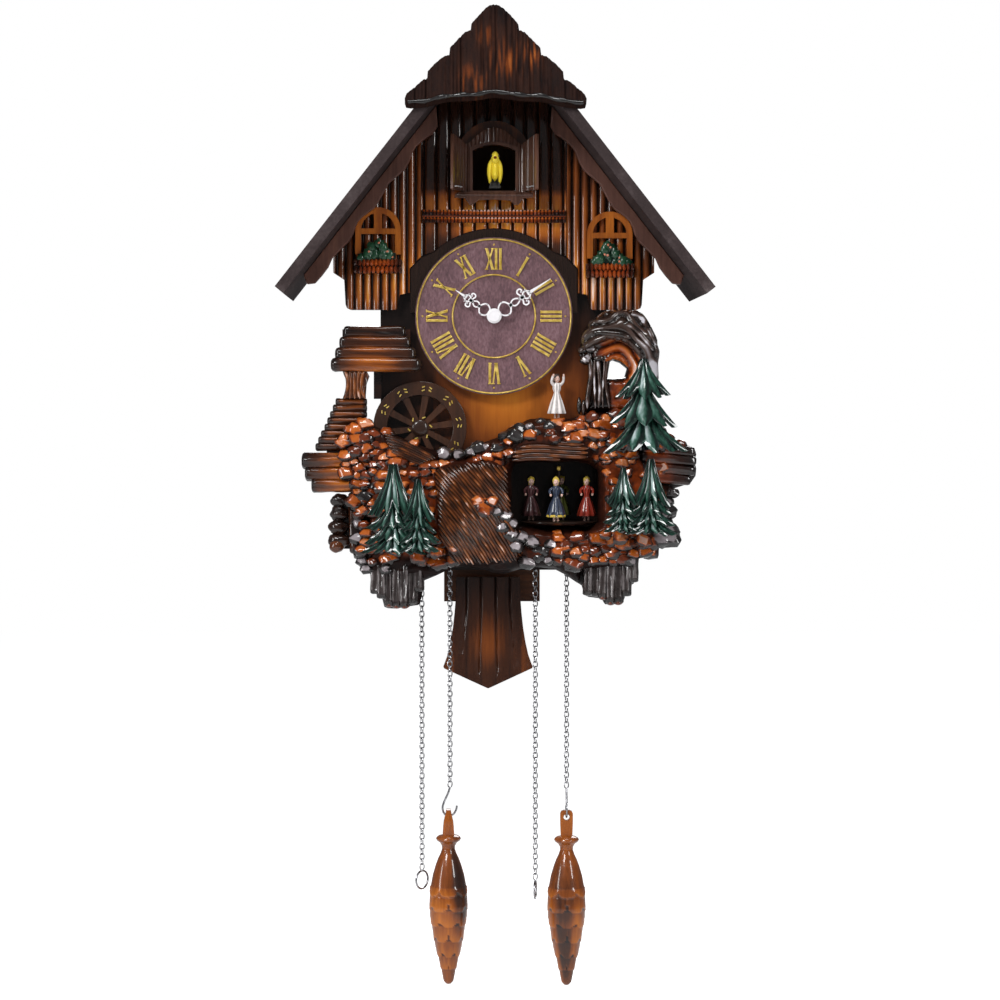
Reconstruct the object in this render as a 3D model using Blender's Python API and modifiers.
"""Chalet cuckoo clock: case, roof, dial, carved landscape, pendulum, chains and cone weights.

Every length below is in millimetres and becomes metres as its mesh is made. The origin is on the
wall face, on the axis of the hands. +X is to the right, +Z is up and -Y is the front.
"""

import math

import bmesh
import bpy
from mathutils import Matrix

MM = 0.001
GAP = 0.3  # clearance between neighbouring pieces

# Depth of each layer: its back and front face along Y.
BACK_PANEL = (0.0, -5.0)
CASE_DEPTH = (-5.3, -73.7)
FRONT_BOARD = (-74.0, -80.0)
GABLE_CENTRE = (-80.3, -86.0)
GABLE_SIDE = (-80.3, -90.0)
SURROUND = (-80.3, -88.0)
DIAL_PLATE = (-88.3, -91.5)
DIAL_RINGS = (-91.8, -93.3)
HOUR_HAND = (-95.0, -95.8)
MINUTE_HAND = (-97.2, -98.0)
HAND_NUT = (-98.3, -100.3)
HOOD = (-86.3, -90.0)
DOOR_FRAME = (-90.3, -96.0)
DOOR_LEAF = (-96.3, -98.9)
BARGEBOARD = (-94.3, -100.5)
TRIM = (-90.3, -94.0)
RELIEF = (-80.3, -122.0)
LOGS = (-80.3, -112.0)
FIR_TALL = (-122.3, -140.0)
FIR_PAIR = (-132.5, -146.0)
FIR_FRONT = (-133.0, -149.0)
ROOF_DEPTH = (0.0, -150.0)

# Case
CASE_HALF = 87.0
CASE_BOTTOM = -195.0
BOARD = 6.0

# Roof: two boards that meet at the ridge, with a half-hip cap across the front of the ridge
ROOF_APEX = 230.0
ROOF_ANGLE = math.radians(51.95)
ROOF_LENGTH = 266.6
ROOF_THICK = 8.0
ROOF_SLOPE = math.tan(ROOF_ANGLE)
ROOF_UNDER = ROOF_APEX - ROOF_THICK / math.cos(ROOF_ANGLE)
CAP_BOTTOM = (-161.0, 155.0)  # y and z of the lower front edge
CAP_HEIGHT = 82.0
CAP_LEAN = math.radians(29.0)
CAP_THICK = 9.0

# Doorway and doors
DOORWAY_HALF = 16.3
DOORWAY_BOTTOM = 95.5
DOORWAY_SPRING = 126.0
DOORWAY_TOP = 130.6
DOOR_HINGE_X = 22.4
DOOR_HINGE_Y = -97.6
DOOR_WIDTH = 21.4
DOOR_OPEN = math.radians(118.0)

# Dial and hands
DIAL_RADIUS = 60.3
OUTER_RING = (57.4, 60.0)
INNER_RING = (30.4, 32.7)
HOUR_LENGTH = 35.5
MINUTE_LENGTH = 51.5
HOUR_HAND_ANGLE = math.radians(-56.0)
MINUTE_HAND_ANGLE = math.radians(56.5)

# Pendulum
PENDULUM_X = -3.5
PENDULUM_Y = (-33.0, -36.0)
PIVOT_Z = -24.0
BOB_TOP = -203.0
BOB_TIP = -290.0

# Water wheel and carousel
WHEEL_CENTRE = (-56.7, -85.5)
WHEEL_RADIUS = 36.0
WHEEL_DEPTH = (-82.0, -91.0)
CAROUSEL_CENTRE = (50.0, -86.0)
CAROUSEL_RADIUS = 30.0
STAGE_FLOOR = -157.0
STAGE = ((12.0, -165.0), (82.0, -111.0))

# Chains: x of each strand, and z of its lower end
CHAIN_Y = -66.0
CHAIN_TOP = -188.6
CHAIN_DIAMETER = 4.2
FREE_STRANDS = {"left": (-55.5, -429.0), "right": (32.7, -437.0)}
WEIGHT_STRANDS = {"left": (-33.7, -364.5), "right": (57.0, -365.5)}
RING_RADIUS = 7.0
WIRE = 0.8

COLOURS = {
    "burnt_wood": ((0.045, 0.028, 0.022), 0.38, 0.0),
    "roof_brown": ((0.085, 0.062, 0.058), 0.42, 0.0),
    "barge_brown": ((0.115, 0.062, 0.052), 0.40, 0.0),
    "amber_wood": ((0.46, 0.15, 0.025), 0.30, 0.0),
    "red_wood": ((0.33, 0.085, 0.022), 0.28, 0.0),
    "dial_mauve": ((0.20, 0.105, 0.115), 0.5, 0.0),
    "gold": ((0.83, 0.60, 0.16), 0.3, 1.0),
    "hand_white": ((0.86, 0.84, 0.86), 0.35, 0.0),
    "fir_green": ((0.018, 0.075, 0.055), 0.25, 0.0),
    "yellow": ((0.86, 0.62, 0.05), 0.35, 0.0),
    "figure_white": ((0.78, 0.74, 0.72), 0.4, 0.0),
    "black_plastic": ((0.03, 0.03, 0.032), 0.5, 0.0),
    "steel": ((0.62, 0.62, 0.64), 0.25, 1.0),
    "brass": ((0.78, 0.57, 0.22), 0.3, 1.0),
    "grey_plastic": ((0.32, 0.32, 0.33), 0.5, 0.0),
}

PARTS = bpy.data.collections.new("cuckoo_clock")
HELPERS = bpy.data.collections.new("cutters")


def clear_scene():
    for obj in list(bpy.data.objects):
        bpy.data.objects.remove(obj, do_unlink=True)
    bpy.context.scene.collection.children.link(PARTS)
    bpy.context.scene.collection.children.link(HELPERS)


def material(name):
    """The Principled material of this name, made the first time it is asked for."""
    found = bpy.data.materials.get(name)
    if found:
        return found
    colour, roughness, metallic = COLOURS[name]
    made = bpy.data.materials.new(name)
    made.use_nodes = True
    shader = made.node_tree.nodes["Principled BSDF"]
    shader.inputs["Base Color"].default_value = (*colour, 1.0)
    shader.inputs["Roughness"].default_value = roughness
    shader.inputs["Metallic"].default_value = metallic
    return made


def place(name, data, finish, helper=False):
    obj = bpy.data.objects.new(name, data)
    if helper:
        HELPERS.objects.link(obj)
        obj.hide_render = True
        obj.display_type = "WIRE"
    else:
        PARTS.objects.link(obj)
        data.materials.append(material(finish))
    return obj


def mesh_from(name, bm, finish, helper=False):
    bmesh.ops.recalc_face_normals(bm, faces=bm.faces)
    mesh = bpy.data.meshes.new(name)
    bm.to_mesh(mesh)
    bm.free()
    return place(name, mesh, finish, helper)


def block(name, low, high, finish, helper=False):
    """A box between two corners."""
    bm = bmesh.new()
    size = [(b - a) * MM for a, b in zip(low, high)]
    middle = [(a + b) / 2 * MM for a, b in zip(low, high)]
    matrix = Matrix.Translation(middle) @ Matrix.Diagonal((*size, 1.0))
    bmesh.ops.create_cube(bm, size=1.0, matrix=matrix)
    return mesh_from(name, bm, finish, helper)


def rod(name, start, end, radius, finish, helper=False, sides=20):
    """A straight cylinder between two points."""
    first, last = ([v * MM for v in point] for point in (start, end))
    along = Matrix.Translation(last).translation - Matrix.Translation(first).translation
    bm = bmesh.new()
    turn = along.to_track_quat("Z", "Y").to_matrix().to_4x4()
    middle = Matrix.Translation([(a + b) / 2 for a, b in zip(first, last)])
    bmesh.ops.create_cone(
        bm, cap_ends=True, segments=sides, radius1=radius * MM, radius2=radius * MM,
        depth=along.length, matrix=middle @ turn,
    )
    return mesh_from(name, bm, finish, helper)


def ellipsoid(name, centre, radii, finish, helper=False, segments=16, rings=10):
    bm = bmesh.new()
    scale = Matrix.Diagonal((*(r * MM for r in radii), 1.0))
    matrix = Matrix.Translation([c * MM for c in centre]) @ scale
    bmesh.ops.create_uvsphere(bm, u_segments=segments, v_segments=rings, radius=1.0, matrix=matrix)
    return mesh_from(name, bm, finish, helper)


def turned(name, profile, centre, finish, steps=20, helper=False):
    """A turned shape about a vertical axis. The profile is (radius, z) from top to bottom."""
    mesh = bpy.data.meshes.new(name)
    points = [(radius * MM, 0.0, z * MM) for radius, z in profile]
    edges = [(i, i + 1) for i in range(len(points) - 1)]
    mesh.from_pydata(points, edges, [])
    obj = place(name, mesh, finish, helper)
    obj.location = [c * MM for c in centre]
    screw = obj.modifiers.new("Screw", "SCREW")
    screw.steps = screw.render_steps = steps
    screw.use_merge_vertices = True
    screw.merge_threshold = 0.00001
    return obj


def plate(name, outlines, depth, finish, helper=False):
    """A flat piece cut from a board: closed (x, z) outlines, holes among them, and its depth."""
    curve = bpy.data.curves.new(name, "CURVE")
    curve.dimensions = "2D"
    curve.fill_mode = "BOTH"
    curve.extrude = abs(depth[0] - depth[1]) / 2 * MM
    for outline in outlines:
        spline = curve.splines.new("POLY")
        spline.points.add(len(outline) - 1)
        for point, (x, z) in zip(spline.points, outline):
            point.co = (x * MM, z * MM, 0.0, 1.0)
        spline.use_cyclic_u = True
    obj = place(name, curve, finish, helper)
    obj.rotation_euler = (math.pi / 2, 0.0, 0.0)
    obj.location.y = (depth[0] + depth[1]) / 2 * MM
    return obj


def solid_plate(name, outlines, depth, finish, helper=False):
    """A plate as a welded mesh in world space, which a Boolean can cut or join."""
    drawn = plate(name + "_outline", outlines, depth, finish, helper=True)
    bpy.context.view_layer.update()
    evaluated = drawn.evaluated_get(bpy.context.evaluated_depsgraph_get())
    mesh = bpy.data.meshes.new_from_object(evaluated)
    matrix = drawn.matrix_world.copy()
    bpy.data.objects.remove(drawn, do_unlink=True)
    bm = bmesh.new()
    bm.from_mesh(mesh)
    bpy.data.meshes.remove(mesh)
    bmesh.ops.transform(bm, matrix=matrix, verts=bm.verts)
    bmesh.ops.remove_doubles(bm, verts=bm.verts, dist=1e-6)
    return mesh_from(name, bm, finish, helper)


def tube(name, points, diameter, finish, resolution=2):
    """A round tube along a list of (x, y, z) points, with filled caps."""
    curve = bpy.data.curves.new(name, "CURVE")
    curve.dimensions = "3D"
    curve.bevel_depth = diameter / 2 * MM
    curve.bevel_resolution = resolution
    curve.use_fill_caps = True
    spline = curve.splines.new("POLY")
    spline.points.add(len(points) - 1)
    for point, co in zip(spline.points, points):
        point.co = (*(c * MM for c in co), 1.0)
    return place(name, curve, finish)


def smooth_path(points, steps):
    """Points read from a smooth Catmull-Rom curve through the given ones."""
    ends = [points[0]] + list(points) + [points[-1]]
    path = []
    for a, b, c, d in zip(ends, ends[1:], ends[2:], ends[3:]):
        for step in range(steps):
            t = step / steps
            path.append(tuple(
                0.5 * (2 * q + (r - p) * t + (2 * p - 5 * q + 4 * r - s) * t**2
                       + (3 * q - p - 3 * r + s) * t**3)
                for p, q, r, s in zip(a, b, c, d)
            ))
    return path + [tuple(points[-1])]


def boolean(obj, other, operation):
    modifier = obj.modifiers.new(operation.title(), "BOOLEAN")
    modifier.operation = operation
    modifier.object = other
    return obj


def set_origin(obj, pivot):
    """Moves the object's origin onto a joint's axis and leaves its mesh where it is."""
    shift = [p * MM for p in pivot]
    obj.data.transform(Matrix.Translation([-s for s in shift]))
    obj.location = shift


def arc(centre, radius, start, end, steps):
    """Points along an arc, with its angles in degrees."""
    angles = [math.radians(start + (end - start) * i / steps) for i in range(steps + 1)]
    return [(centre[0] + radius * math.cos(a), centre[1] + radius * math.sin(a)) for a in angles]


def circle(centre, radius, steps):
    return arc(centre, radius, 0.0, 360.0 - 360.0 / steps, steps - 1)


def mirrored(points):
    """The same outline on the other side, in the opposite order."""
    return [(-x, z) for x, z in reversed(points)]


def roof_line(x, drop=0.0):
    """Height of the roof's underside at x, less a drop."""
    return ROOF_UNDER - ROOF_SLOPE * abs(x) - drop


def doorway(grow=0.0):
    """The doorway: straight jambs under a flat arch."""
    half = DOORWAY_HALF + grow
    bottom = DOORWAY_BOTTOM - grow
    rise = DOORWAY_TOP - DOORWAY_SPRING
    radius = (half**2 + rise**2) / (2 * rise)
    spread = math.degrees(math.asin(half / radius))
    top = arc((0.0, DOORWAY_TOP + grow - radius), radius, 90.0 - spread, 90.0 + spread, 10)
    return [(-half, bottom), (half, bottom)] + top


def case():
    """Boards of the case, with the openings that the movement, the bird and the stage need."""
    pentagon = [(-CASE_HALF, CASE_BOTTOM), (CASE_HALF, CASE_BOTTOM),
                (CASE_HALF, roof_line(CASE_HALF, GAP + 0.2)), (0.0, roof_line(0.0, GAP + 0.2)),
                (-CASE_HALF, roof_line(CASE_HALF, GAP + 0.2))]
    keyhole = arc((0.0, 150.0), 5.5, -245.0, 65.0, 14) + arc((0.0, 162.0), 2.6, 0.0, 180.0, 6)
    hatch = [(-50.3, -102.3), (50.3, -102.3), (50.3, -11.7), (-50.3, -11.7)]
    plate("back_panel", [pentagon, keyhole, hatch], BACK_PANEL, "burnt_wood")
    (left, low), (right, high) = STAGE
    stage = [(left, low), (right, low), (right, high), (left, high)]
    shaft = circle((0.0, 0.0), 4.6, 20)
    axle = circle(WHEEL_CENTRE, 3.0, 12)
    plate("front_board", [pentagon, doorway(1.0), stage, shaft, axle], FRONT_BOARD, "amber_wood")
    for side, sign in (("left", -1), ("right", 1)):
        outer, inner = sign * CASE_HALF, sign * (CASE_HALF - BOARD)
        cheek = [(outer, CASE_BOTTOM), (inner, CASE_BOTTOM),
                 (inner, roof_line(inner, 0.8)), (outer, roof_line(outer, 0.8))]
        plate(f"case_side_{side}", [cheek], CASE_DEPTH, "burnt_wood")
    floor()


def floor():
    """Case floor, with a slot for the pendulum rod and a slot for each chain."""
    half = CASE_HALF - BOARD - GAP
    board = block("case_floor", (-half, CASE_DEPTH[1], CASE_BOTTOM),
                  (half, CASE_DEPTH[0], CASE_BOTTOM + BOARD), "burnt_wood")
    slots = [(PENDULUM_X, -34.5, 24.0, 6.5)]
    slots += [(x, CHAIN_Y, 4.6, 6.6) for x, _ in [*FREE_STRANDS.values(), *WEIGHT_STRANDS.values()]]
    for number, (x, y, half_x, half_y) in enumerate(slots):
        cutter = block(f"floor_slot_{number}", (x - half_x, y - half_y, CASE_BOTTOM - 5),
                       (x + half_x, y + half_y, CASE_BOTTOM + BOARD + 5), None, helper=True)
        boolean(board, cutter, "DIFFERENCE")
    rod("chain_bar", (-half, CHAIN_Y, CHAIN_TOP + 2.5), (half, CHAIN_Y, CHAIN_TOP + 2.5), 2.0, "steel")
    block("wall_spacer", (-38.0, -15.0, -223.5), (38.0, 0.0, CASE_BOTTOM - GAP), "burnt_wood")


def hatch():
    """Service hatch in the back panel, hinged along its left edge as seen from the front."""
    leaf = block("service_hatch", (-50.0, BACK_PANEL[1] + 0.1, -102.0), (50.0, -0.1, -12.0), "burnt_wood")
    set_origin(leaf, (-50.3, 0.0, -57.0))


def roof():
    """Roof boards with a shared ridge, cut at the front by the plane of the half-hip."""
    down = (math.cos(ROOF_ANGLE), -math.sin(ROOF_ANGLE))
    inward = (-math.sin(ROOF_ANGLE), -math.cos(ROOF_ANGLE))
    eave = (ROOF_LENGTH * down[0], ROOF_APEX + ROOF_LENGTH * down[1])
    eave_under = (eave[0] + ROOF_THICK * inward[0], eave[1] + ROOF_THICK * inward[1])
    mitre = GAP / 2
    board = [(mitre, ROOF_APEX - mitre * ROOF_SLOPE), (mitre, roof_line(mitre)), eave_under, eave]
    for side, outline in (("left", mirrored(board)), ("right", board)):
        piece = solid_plate(f"roof_board_{side}", [outline], ROOF_DEPTH, "roof_brown")
        boolean(piece, hip_cutter(side), "DIFFERENCE")
    cap()


def hip_cutter(side):
    """Everything in front of the back face of the cap."""
    lift = CAP_THICK + GAP
    reach = 200.0
    cutter = block(f"hip_cutter_{side}", (-reach, -reach, -40.0), (reach, lift, reach), None, helper=True)
    cutter.location = (0.0, CAP_BOTTOM[0] * MM, CAP_BOTTOM[1] * MM)
    cutter.rotation_euler = (-CAP_LEAN, 0.0, 0.0)
    return cutter


def cap():
    """Half-hip cap: a board with stepped shingle edges that leans back over the ridge."""
    slope = CAP_HEIGHT / math.cos(CAP_LEAN)
    steps = 4
    widths = [66.5, 51.0, 33.5, 17.0, 3.0]
    heights = [0.0, 0.27, 0.50, 0.76, 1.0]
    right = []
    for row in range(steps):
        rise = heights[row + 1] - heights[row]
        right.append((widths[row], slope * (heights[row] + (0.07 if row else 0.02))))
        right.append((widths[row + 1] + 2.5, slope * (heights[row] + 0.97 * rise)))
    right.append((widths[-1], slope))
    lip = arc((0.0, -270.0), 278.0, 76.5, 103.5, 12)
    outline = lip[::-1][:-1] + [(widths[0] - 1.0, 0.0)] + right + mirrored(right)
    piece = solid_plate("roof_cap", [outline], (CAP_THICK, 0.0), "burnt_wood")
    piece.location = (0.0, CAP_BOTTOM[0] * MM, CAP_BOTTOM[1] * MM)
    piece.rotation_euler = (-CAP_LEAN, 0.0, 0.0)


def bargeboards():
    """Boards under the roof with a scalloped lower edge, one wave in each 36 mm of slope."""
    start, end, wave = 44.0, 143.0, 36.0
    count = 44
    upper = [(start, roof_line(start, 0.6)), (end, roof_line(end, 0.6))]
    lower = []
    for step in range(count + 1):
        x = end + (start - end) * step / count
        along = x / math.cos(ROOF_ANGLE) * 2 * math.pi / wave
        width = 10.6 + 1.7 * math.sin(along + 2.2) + 0.6 * math.sin(2 * along + 1.0)
        if step == 0:
            width = 5.0
        across = (-width * math.sin(ROOF_ANGLE), -width * math.cos(ROOF_ANGLE))
        lower.append((x + across[0] * 0.25, roof_line(x, 0.6) + across[1] * 1.55))
    outline = upper + lower
    for side, points in (("left", mirrored(outline)), ("right", outline)):
        plate(f"bargeboard_{side}", [points], BARGEBOARD, "barge_brown")


def gables():
    """Fluted gable panels: a deep centre panel and a proud one on each side of it."""
    inner = 56.0
    edge = [(inner, roof_line(inner, 1.0)), (inner, 45.5), (64.6, 36.5), (64.6, 18.0), (72.0, 16.5),
            (73.5, 5.0), (110.5, 5.0), (113.6, 8.0), (114.6, 28.0), (123.0, 33.5)]
    outline = edge + [(123.0, roof_line(123.0, 1.0))]
    for side, points in (("left", mirrored(outline)), ("right", outline)):
        plate(f"gable_panel_{side}", [points], GABLE_SIDE, "amber_wood")
    half = inner - GAP
    arch = arc((0.0, 0.0), 67.6, 133.0, 47.0, 24)
    centre = [(-half, roof_line(half, 1.0)), (-half, 46.5)] + arch
    centre += [(half, 46.5), (half, roof_line(half, 1.0)), (0.0, roof_line(0.0, 1.0))]
    plate("gable_panel_centre", [centre, doorway(0.5)], GABLE_CENTRE, "amber_wood")


def doors():
    """Door frame, the hood board behind it and the two leaves, standing open."""
    hood_radius = 28.8
    top = arc((0.0, 149.4 - hood_radius), hood_radius, 28.0, 152.0, 16)
    hood = [(-21.0, 93.0), (21.0, 93.0), (21.0, 129.0)] + top + [(-21.0, 129.0)]
    plate("door_hood", [hood, doorway(0.0)], HOOD, "amber_wood")
    ogee = [(21.6, 131.0), (17.0, 134.0), (12.5, 138.2), (8.0, 141.6), (4.0, 143.2), (0.0, 143.8)]
    apron = [(0.0, 88.6), (12.0, 88.0), (18.5, 84.2), (22.0, 89.6), (29.5, 91.8), (30.0, 94.2),
             (21.6, 94.4)]
    outline = apron + ogee + mirrored(ogee)[1:] + mirrored(apron)[:-1]
    plate("door_frame", [outline, doorway(0.0)], DOOR_FRAME, "burnt_wood")
    leaf = [(0.2, 95.0), (DOOR_WIDTH, 95.0), (DOOR_WIDTH, 136.8), (0.2, 131.5)]
    for side, sign in (("left", -1), ("right", 1)):
        points = leaf if side == "left" else mirrored(leaf)
        depth = [d - DOOR_HINGE_Y for d in DOOR_LEAF]
        door = solid_plate(f"door_{side}", [points], depth, "burnt_wood")
        door.location = (sign * DOOR_HINGE_X * MM, DOOR_HINGE_Y * MM, 0.0)
        door.rotation_euler = (0.0, 0.0, sign * DOOR_OPEN)


def bird():
    """Cuckoo on its arm, slid out into the doorway."""
    x, y, z = 0.6, -96.0, 112.0
    body = ellipsoid("cuckoo_bird", (x, y, z), (5.0, 8.0, 9.0), "yellow")
    others = [
        ellipsoid("bird_head", (x + 0.13, y - 5.57, z + 8.07), (3.8, 4.2, 4.6), None, helper=True),
        ellipsoid("bird_tail", (x - 0.11, y + 7.03, z - 6.1), (2.6, 6.0, 5.0), None, helper=True),
        ellipsoid("bird_beak", (x + 0.07, y - 10.5, z + 7.63), (1.2, 4.0, 1.3), None, helper=True, segments=8, rings=6),
        block("bird_arm", (x - 4.0, -97.0, 97.4), (x + 4.0, -58.0, 101.0), None, helper=True),
        block("bird_perch", (x - 2.1, -96.3, 99.0), (x + 1.9, -91.2, 106.0), None, helper=True),
    ]
    for other in others:
        boolean(body, other, "UNION")


def balcony_and_windows():
    """Balcony rail, and on each side a window frame with a flower box and its bush."""
    block("balcony_rail", (-55.0, -93.6, 71.3), (55.0, -86.3, 81.7), "red_wood")
    for side, sign, shift in (("left", -1, 1.5), ("right", 1, -1.5)):
        x = sign * 88.6
        window_frame(side, x, 45.6 + shift)
        low = 31.0 + shift
        block(f"flower_box_{side}", (x - 19.0, -101.0, low), (x + 19.0, TRIM[0], low + 11.0), "red_wood")
        bush = [(x - 15.0, low + 11.3), (x + 15.0, low + 11.3)]
        bush += arc((x, low + 11.3), 17.0, 50.0, 130.0, 6)
        plate(f"bush_{side}", [bush], (TRIM[1] - GAP, -100.5), "fir_green")


def window_frame(side, x, bottom):
    """Arched frame with two quadrant openings and one wide opening under its cross bar."""
    half, bar = 17.4, 4.4
    spring = bottom + 18.5
    outer = [(x - half, bottom), (x + half, bottom)] + arc((x, spring), half, 0.0, 180.0, 18)
    inner = half - bar
    panes = []
    for start, sign in ((5.0, 1), (175.0, -1)):
        end = 90.0 - sign * 14.0
        curve = arc((x, spring), inner, start, end, 7)
        panes.append(curve + [(x + sign * 3.1, spring + 1.2)])
    lower = [(x - inner, bottom + 1.5), (x + inner, bottom + 1.5), (x + inner, spring - 3.0),
             (x - inner, spring - 3.0)]
    plate(f"window_frame_{side}", [outer, lower] + panes, TRIM, "amber_wood")


def dial():
    """Dial, the arched board that it sits on, its two raised rings and the movement behind."""
    edge = [(63.9, 3.0), (63.9, 36.0), (55.4, 45.0)] + arc((0.0, 0.0), 67.0, 47.0, 133.0, 20)
    edge += [(-55.4, 45.0), (-63.9, 36.0), (-63.9, 3.0)]
    surround = edge + arc((0.0, 0.0), 54.0, 177.0, 363.0, 26)
    plate("dial_surround", [surround, circle((0.0, 0.0), 4.6, 20)], SURROUND, "burnt_wood")
    plate("dial", [circle((0.0, 0.0), DIAL_RADIUS, 64), circle((0.0, 0.0), 4.6, 20)], DIAL_PLATE, "dial_mauve")
    for name, (inner, outer) in (("dial_ring_outer", OUTER_RING), ("dial_ring_inner", INNER_RING)):
        plate(name, [circle((0.0, 0.0), outer, 56), circle((0.0, 0.0), inner, 56)], DIAL_RINGS, "gold")


def movement():
    """Quartz movement with its threaded bush, the pendulum hanger, the hand shaft's knob and the music box."""
    housing = block("movement", (-30.0, -73.7, -30.0), (30.0, -52.0, 30.0), "black_plastic")
    bush = rod("movement_bush", (0, -72.0, 0), (0, -93.6, 0), 4.2, None, helper=True)
    bore = rod("movement_bore", (0, -70.0, 0), (0, -95.0, 0), 2.1, None, helper=True, sides=16)
    arm = block("hanger_arm", (PENDULUM_X - 3, -54.0, PIVOT_Z - 6), (PENDULUM_X + 3, -38.0, PIVOT_Z + 6),
                None, helper=True)
    pin = rod("hanger_pin", (PENDULUM_X, -39.0, PIVOT_Z), (PENDULUM_X, -31.5, PIVOT_Z), 1.5, None,
              helper=True, sides=12)
    boolean(housing, bush, "UNION")
    boolean(housing, arm, "UNION")
    boolean(housing, pin, "UNION")
    boolean(housing, bore, "DIFFERENCE")
    rod("setting_knob", (0, -51.7, 0), (0, -45.0, 0), 8.0, "grey_plastic", sides=24)
    block("music_module", (22.0, -58.0, CASE_BOTTOM + BOARD + GAP), (79.0, -16.0, -165.0), "black_plastic")


def hand_outline(length, angle, hub, widest):
    """A tapered hand with a round hub, turned clockwise from twelve by the angle."""
    half = math.radians(24.0)
    points = arc((0.0, 0.0), hub, 90.0 + math.degrees(half), 450.0 - math.degrees(half), 18)
    points += [(widest, length * 0.35), (widest * 0.6, length * 0.7), (0.5, length - 0.8)]
    points += [(-0.5, length - 0.8), (-widest * 0.6, length * 0.7), (-widest, length * 0.35)]
    turn = [(x * math.cos(angle) + z * math.sin(angle), z * math.cos(angle) - x * math.sin(angle))
            for x, z in points]
    return turn


def hands():
    hour = hand_outline(HOUR_LENGTH, HOUR_HAND_ANGLE, 5.0, 3.4)
    plate("hour_hand", [hour, circle((0.0, 0.0), 2.0, 16)], HOUR_HAND, "hand_white")
    outline = hand_outline(MINUTE_LENGTH, MINUTE_HAND_ANGLE, 5.0, 3.0)
    minute = solid_plate("minute_hand", [outline], MINUTE_HAND, "hand_white")
    shaft = rod("minute_shaft", (0, -97.6, 0), (0, -72.0, 0), 1.6, None, helper=True, sides=16)
    boolean(minute, shaft, "UNION")
    rod("hand_nut", (0, HAND_NUT[0], 0), (0, HAND_NUT[1], 0), 5.7, "hand_white", sides=28)


def pendulum():
    """Pendulum rod with an eye on the hanger's pin, and the shield-shaped bob."""
    x = PENDULUM_X
    eye = [(x - 2.2, BOB_TOP + 6.0), (x + 2.2, BOB_TOP + 6.0)]
    eye += arc((x, PIVOT_Z), 5.0, -60.0, 240.0, 16)
    strip = solid_plate("pendulum_rod", [eye, circle((x, PIVOT_Z), 2.0, 14)], PENDULUM_Y, "brass")
    set_origin(strip, (x, 0.0, PIVOT_Z))
    flare = [(25.0, 0.0), (25.4, -16.0), (27.2, -38.0), (30.5, -56.0), (35.4, -70.5)]
    side = [(x + half, BOB_TOP + drop) for half, drop in flare]
    other = [(2 * x - px, pz) for px, pz in reversed(side)]
    bob = solid_plate("pendulum_bob", [side + [(x, BOB_TIP)] + other], (-29.5, -39.5), "red_wood")
    pocket = block("bob_pocket", (x - 2.8, -36.4, BOB_TOP - 14.0), (x + 2.8, -32.6, BOB_TOP + 9.0),
                   None, helper=True)
    boolean(bob, pocket, "DIFFERENCE")
    set_origin(bob, (x, 0.0, PIVOT_Z))


def wheel():
    """Water wheel: rim, eight spokes and a hub on a short axle that enters the front board."""
    x, z = WHEEL_CENTRE
    hub, rim_inner = 6.0, WHEEL_RADIUS - 11.0
    holes = []
    for spoke in range(8):
        middle = 45.0 * spoke
        outer = arc((x, z), rim_inner, middle + 5.0, middle + 40.0, 4)
        inner = arc((x, z), hub, middle + 32.0, middle + 13.0, 1)
        holes.append(outer + inner)
    body = solid_plate("water_wheel", [circle((x, z), WHEEL_RADIUS, 40)] + holes, WHEEL_DEPTH, "burnt_wood")
    axle = rod("wheel_axle", (x, WHEEL_DEPTH[1] + 2, z), (x, -70.0, z), 2.4, None, helper=True, sides=12)
    boolean(body, axle, "UNION")
    set_origin(body, (x, 0.0, z))


def carousel():
    """Turntable of the stage with its centre post and four dancers, joined as one moulding."""
    x, y = CAROUSEL_CENTRE
    disc = [(0.0, STAGE_FLOOR), (CAROUSEL_RADIUS, STAGE_FLOOR), (CAROUSEL_RADIUS, STAGE_FLOOR - 3.5),
            (5.0, STAGE_FLOOR - 3.5), (5.0, STAGE_FLOOR - 7.5), (0.0, STAGE_FLOOR - 7.5)]
    body = turned("dancer_carousel", disc, (x, y, 0.0), "black_plastic", steps=32)
    post = rod("carousel_post", (x, y, STAGE_FLOOR - 1), (x, y, -118.0), 1.4, None, helper=True, sides=10)
    boolean(body, post, "UNION")
    figure = [(0.0, 35.0), (2.6, 34.0), (3.4, 31.0), (2.4, 28.0), (4.2, 25.0), (2.6, 19.0), (7.6, 6.0),
              (7.2, 4.5), (2.8, 4.0), (2.6, -1.0), (0.0, -1.0)]
    for number in range(4):
        angle = math.radians(-90.0 + 90.0 * number)
        place_at = (x + 21.5 * math.cos(angle), y + 21.5 * math.sin(angle), STAGE_FLOOR)
        dancer = turned(f"dancer_{number}", figure, place_at, None, steps=10, helper=True)
        boolean(body, dancer, "UNION")


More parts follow.
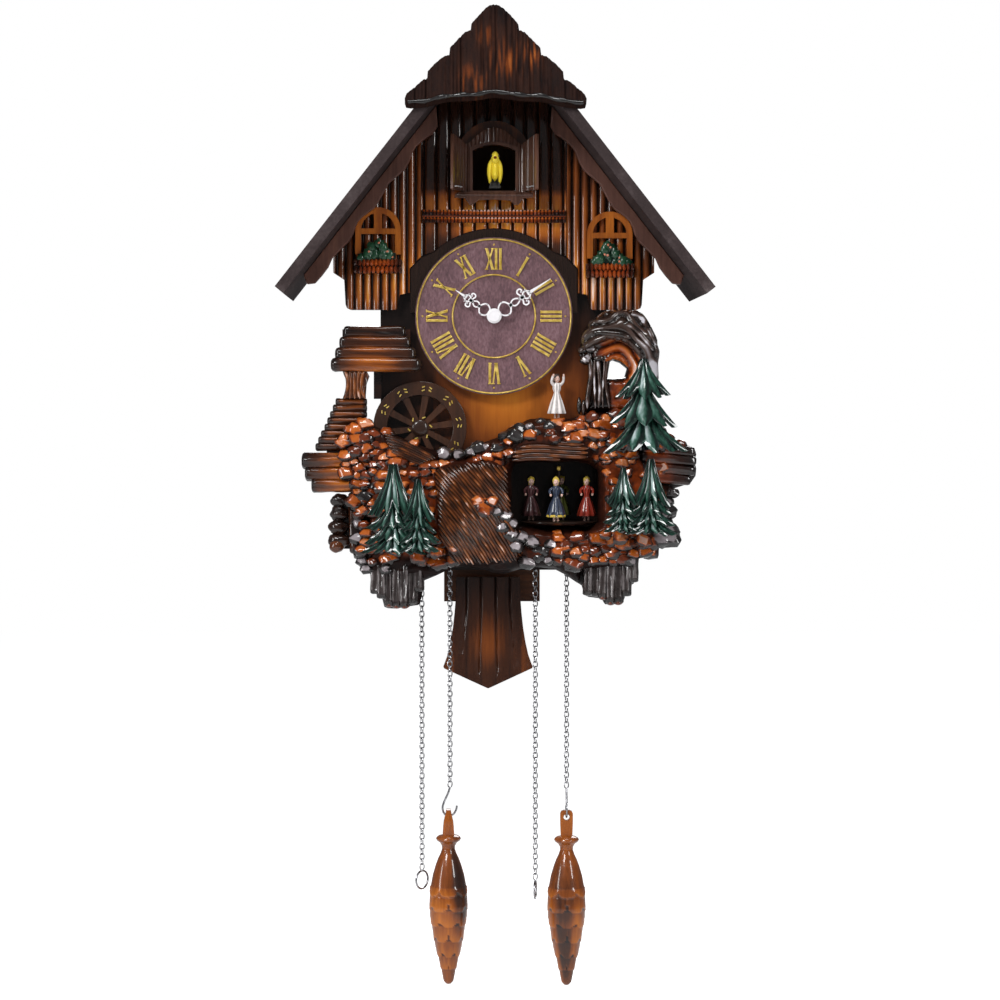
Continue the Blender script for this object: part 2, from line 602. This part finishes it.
def landscape():
    """Carved landscape: a thick board with its mound and rock lumps, pockets for wheel and stage."""
    outline = [(-97.7, -82.0), (-81.0, -88.5), (-49.0, -101.5), (-18.6, -103.7), (4.0, -92.3), (19.3, -83.2),
               (38.3, -78.0), (61.0, -78.0), (72.5, -73.5), (86.3, -73.5), (86.3, -47.0), (104.4, -47.0),
               (116.0, -62.0), (143.8, -97.6), (153.7, -100.3), (155.8, -105.2), (155.2, -122.3),
               (151.4, -128.0), (138.9, -131.8), (134.0, -160.6), (140.0, -164.4), (138.9, -171.3),
               (122.6, -175.8), (120.3, -182.0), (109.7, -186.4), (108.9, -204.7), (102.1, -208.5),
               (99.0, -221.4), (85.4, -221.4), (70.2, -215.3), (67.9, -207.0), (54.3, -197.8),
               (45.9, -193.3), (20.1, -193.3), (0.0, -197.1), (-31.5, -192.2), (-53.6, -202.4),
               (-56.0, -224.0), (-75.0, -225.0), (-93.0, -207.0), (-97.7, -194.8)]
    body = solid_plate("landscape_relief", [outline], RELIEF, "red_wood")
    lumps = [((-10.0, -122.0, -148.0), (31.0, 26.0, 40.0)), ((46.0, -116.0, -95.0), (37.0, 26.0, 14.0)),
             ((30.0, -116.0, -178.0), (48.0, 28.0, 13.0)), ((100.0, -116.0, -150.0), (34.0, 14.0, 34.0)),
             ((-70.0, -116.0, -135.0), (27.0, 16.0, 42.0))]
    for number, (centre, radii) in enumerate(lumps):
        lump = ellipsoid(f"rock_lump_{number}", centre, radii, None, helper=True, segments=18, rings=12)
        boolean(body, lump, "UNION")
    x, z = WHEEL_CENTRE
    boolean(body, rod("wheel_pocket", (x, -60.0, z), (x, -95.0, z), 39.0, None, helper=True, sides=40),
            "DIFFERENCE")
    (left, low), (right, high) = STAGE
    boolean(body, block("stage_cutter", (left, -170.0, low), (right, -60.0, high), None, helper=True),
            "DIFFERENCE")


def mill_and_logs():
    """Mill hut with its log roof and carved post, and the stacked logs that it stands on."""
    hut = [(-116.0, -63.2), (-116.0, -45.0), (-127.2, -38.0), (-122.0, -22.0), (-114.8, -7.3), (-66.8, -7.3),
           (-60.0, -22.0), (-53.5, -38.0), (-87.5, -43.0), (-87.5, -63.2)]
    gap = [(-98.3, -61.0), (-92.0, -61.0), (-92.0, -45.5), (-98.3, -45.5)]
    plate("mill_hut", [hut, gap], (-80.3, -106.0), "burnt_wood")
    logs = [(-98.0, -63.5), (-98.0, -181.0), (-109.7, -181.0), (-124.9, -181.0), (-124.9, -139.4),
            (-139.3, -135.2), (-144.5, -124.0), (-147.0, -114.0), (-143.5, -104.5), (-134.8, -100.7),
            (-128.0, -80.0), (-120.7, -63.5)]
    plate("log_stack", [logs], LOGS, "burnt_wood")


def fir_outline(x, top, bottom, half):
    """A fir in four tiers, each wider than the one above."""
    tiers = 4
    height = (top - bottom) / tiers
    right = []
    for tier in range(tiers):
        width = half * (0.42 + 0.58 * (tier + 1) / tiers)
        low = top - height * (tier + 1)
        right += [(x + width, low + 1.5), (x + width * 0.62, low)]
    points = [(x, top)] + right
    return points + [(2 * x - px, pz) for px, pz in reversed(right)]


def trees():
    """Firs that stand in front of the landscape, and the hollow tree at its right edge."""
    pairs = {
        "left": [(-76.7, -112.4, -180.0, 21.5), (-58.0, -123.7, -178.5, 15.0)],
        "right": [(96.5, -115.4, -164.0, 14.0), (117.0, -108.7, -165.8, 17.5)],
    }
    for side, (back, front) in pairs.items():
        first = solid_plate(f"fir_pair_{side}", [fir_outline(*back)], FIR_PAIR, "fir_green")
        second = solid_plate(f"fir_front_{side}", [fir_outline(*front)], FIR_FRONT, None, helper=True)
        boolean(first, second, "UNION")
    plate("fir_tall", [fir_outline(112.5, -33.0, -103.0, 28.0)], FIR_TALL, "fir_green")
    trunk = [(72.5, -73.2), (74.5, -40.0), (70.0, -24.0), (71.0, -8.0), (82.0, 3.0), (97.0, 5.0),
             (112.0, -4.0), (121.0, -16.0), (126.0, -29.0), (113.0, -30.5), (106.0, -36.0), (86.0, -33.0),
             (86.0, -73.2)]
    plate("hollow_tree", [trunk], LOGS, "burnt_wood")
    robe = [(0.0, 35.0), (2.6, 33.5), (3.2, 30.5), (2.2, 27.5), (4.6, 24.0), (3.4, 17.0), (5.6, 6.0), (3.8, 0.0),
            (0.0, 0.0)]
    turned("figurine", robe, (48.0, -95.0, -77.7), "figure_white", steps=14)


def chains():
    """Four chain strands, with a pull ring on each free one and a hook and a cone weight on the others."""
    for side, (x, bottom) in FREE_STRANDS.items():
        strand(f"chain_free_{side}", x, bottom)
        pull_ring(side, x, bottom)
    for side, (x, bottom) in WEIGHT_STRANDS.items():
        strand(f"chain_weight_{side}", x, bottom)
        hook_and_weight(side, x, bottom)


def strand(name, x, bottom):
    spacing = 3 * CHAIN_DIAMETER
    count = max(2, round((CHAIN_TOP - bottom) / spacing))
    points = [(x, CHAIN_Y, CHAIN_TOP + (bottom - CHAIN_TOP) * i / count) for i in range(count + 1)]
    tube(name, points, CHAIN_DIAMETER, "steel")


def pull_ring(side, x, bottom):
    turn = math.radians(50.0 if side == "left" else 82.0)
    centre = bottom - GAP - RING_RADIUS - WIRE
    bpy.ops.mesh.primitive_torus_add(
        major_radius=RING_RADIUS * MM, minor_radius=WIRE * MM, major_segments=24, minor_segments=8,
        location=(x * MM, CHAIN_Y * MM, centre * MM), rotation=(math.pi / 2, 0.0, turn),
    )
    ring = bpy.context.object
    ring.name = ring.data.name = f"pull_ring_{side}"
    for collection in list(ring.users_collection):
        collection.objects.unlink(ring)
    PARTS.objects.link(ring)
    ring.data.materials.append(material("steel"))


def hook_and_weight(side, x, bottom):
    """S-hook through the tab of the weight. The left hook is seen flat and the right one edge-on."""
    shape = [(0.0, -0.4), (-1.4, -5.0), (-4.6, -12.0), (-5.8, -17.0), (-4.4, -21.2), (-1.2, -22.9), (2.6, -21.6),
             (4.8, -18.0), (5.4, -14.8)]
    flat = side == "left"
    path = [(x + dx, CHAIN_Y, bottom + dz) if flat else (x, CHAIN_Y + dx, bottom + dz) for dx, dz in shape]
    tube(f"hook_{side}", smooth_path(path, 3), 2 * WIRE, "steel")
    hole = (x - 1.2 if flat else x, CHAIN_Y if flat else CHAIN_Y - 1.2, bottom - 22.9)
    cone_weight(side, hole, flat)


def cone_weight(side, hole, flat):
    """Pine-cone weight: a turned body under a flat tab with a hole for the hook."""
    hx, hy, hz = hole
    top = hz + 5.4
    profile = [(0.0, -19.5), (3.6, -19.8), (8.8, -21.6), (9.4, -24.0), (6.0, -26.5), (4.8, -31.0), (8.6, -43.0),
               (12.6, -56.0), (14.9, -70.0), (14.6, -84.0), (12.4, -98.0), (9.4, -112.0), (5.6, -124.0),
               (4.4, -131.0), (3.2, -136.0), (0.0, -137.0)]
    weight = turned(f"weight_{side}", profile, (hx, hy, top), "red_wood", steps=20)
    wide, thin = 5.0, 2.2
    half_x, half_y = (thin, wide) if flat else (wide, thin)
    tab = block(f"weight_tab_{side}", (hx - half_x, hy - half_y, top - 23.0), (hx + half_x, hy + half_y, top),
                None, helper=True)
    boolean(weight, tab, "UNION")
    along = (1, 0) if flat else (0, 1)
    start = (hx - 9 * along[0], hy - 9 * along[1], hz)
    end = (hx + 9 * along[0], hy + 9 * along[1], hz)
    bore = rod(f"weight_bore_{side}", start, end, 2.4, None, helper=True, sides=16)
    boolean(weight, bore, "DIFFERENCE")


def smooth_round_pieces():
    """Shades turned and rounded meshes smooth, with their sharp edges kept."""
    for obj in PARTS.objects:
        if obj.type == "MESH":
            obj.data.shade_smooth()
            obj.data.set_sharp_from_angle(angle=math.radians(35.0))


def main():
    clear_scene()
    case()
    hatch()
    roof()
    bargeboards()
    gables()
    doors()
    bird()
    balcony_and_windows()
    dial()
    movement()
    hands()
    pendulum()
    wheel()
    carousel()
    landscape()
    mill_and_logs()
    trees()
    chains()
    smooth_round_pieces()


main()
